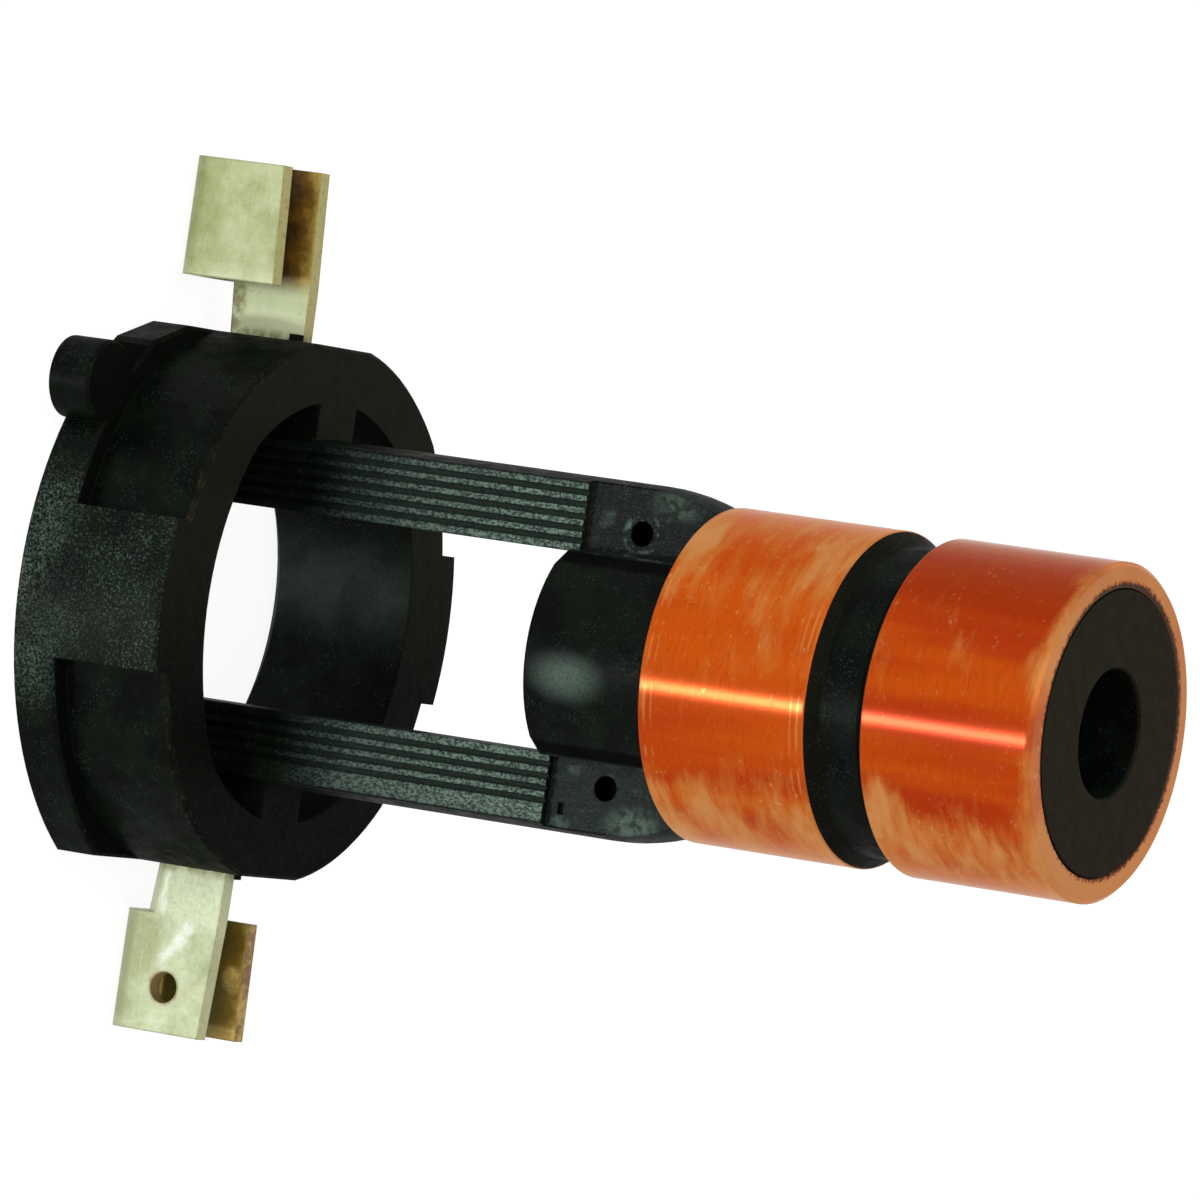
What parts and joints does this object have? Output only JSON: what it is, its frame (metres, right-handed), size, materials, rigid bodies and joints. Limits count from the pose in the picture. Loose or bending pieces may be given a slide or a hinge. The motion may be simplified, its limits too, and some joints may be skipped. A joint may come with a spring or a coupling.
{
  "type": "alternator slip ring",
  "caption": "Slip ring for an alternator rotor: copper rings on a black moulded core, ribbed legs, a collar and folded winding terminals.",
  "frame": {"origin": "centre of the collar's flat back face, on the shaft axis", "axes": "+Z along the shaft axis, from the collar to the free end of the copper rings; X through the two terminals, with the outer ring's terminal on +X; Y through the collar's two pads"},
  "size_m": [0.042, 0.0268, 0.051],
  "materials": {
    "phenolic": "black moulded phenolic resin, slightly speckled",
    "copper": "turned bare copper, faintly stained",
    "tin_plate": "tin-plated copper sheet, satin"
  },
  "bodies": {
    "root": {"moulding": "phenolic", "inner_ring": "copper", "outer_ring": "copper", "inner_terminal": "tin_plate", "outer_terminal": "tin_plate"}
  },
  "joints": []
}
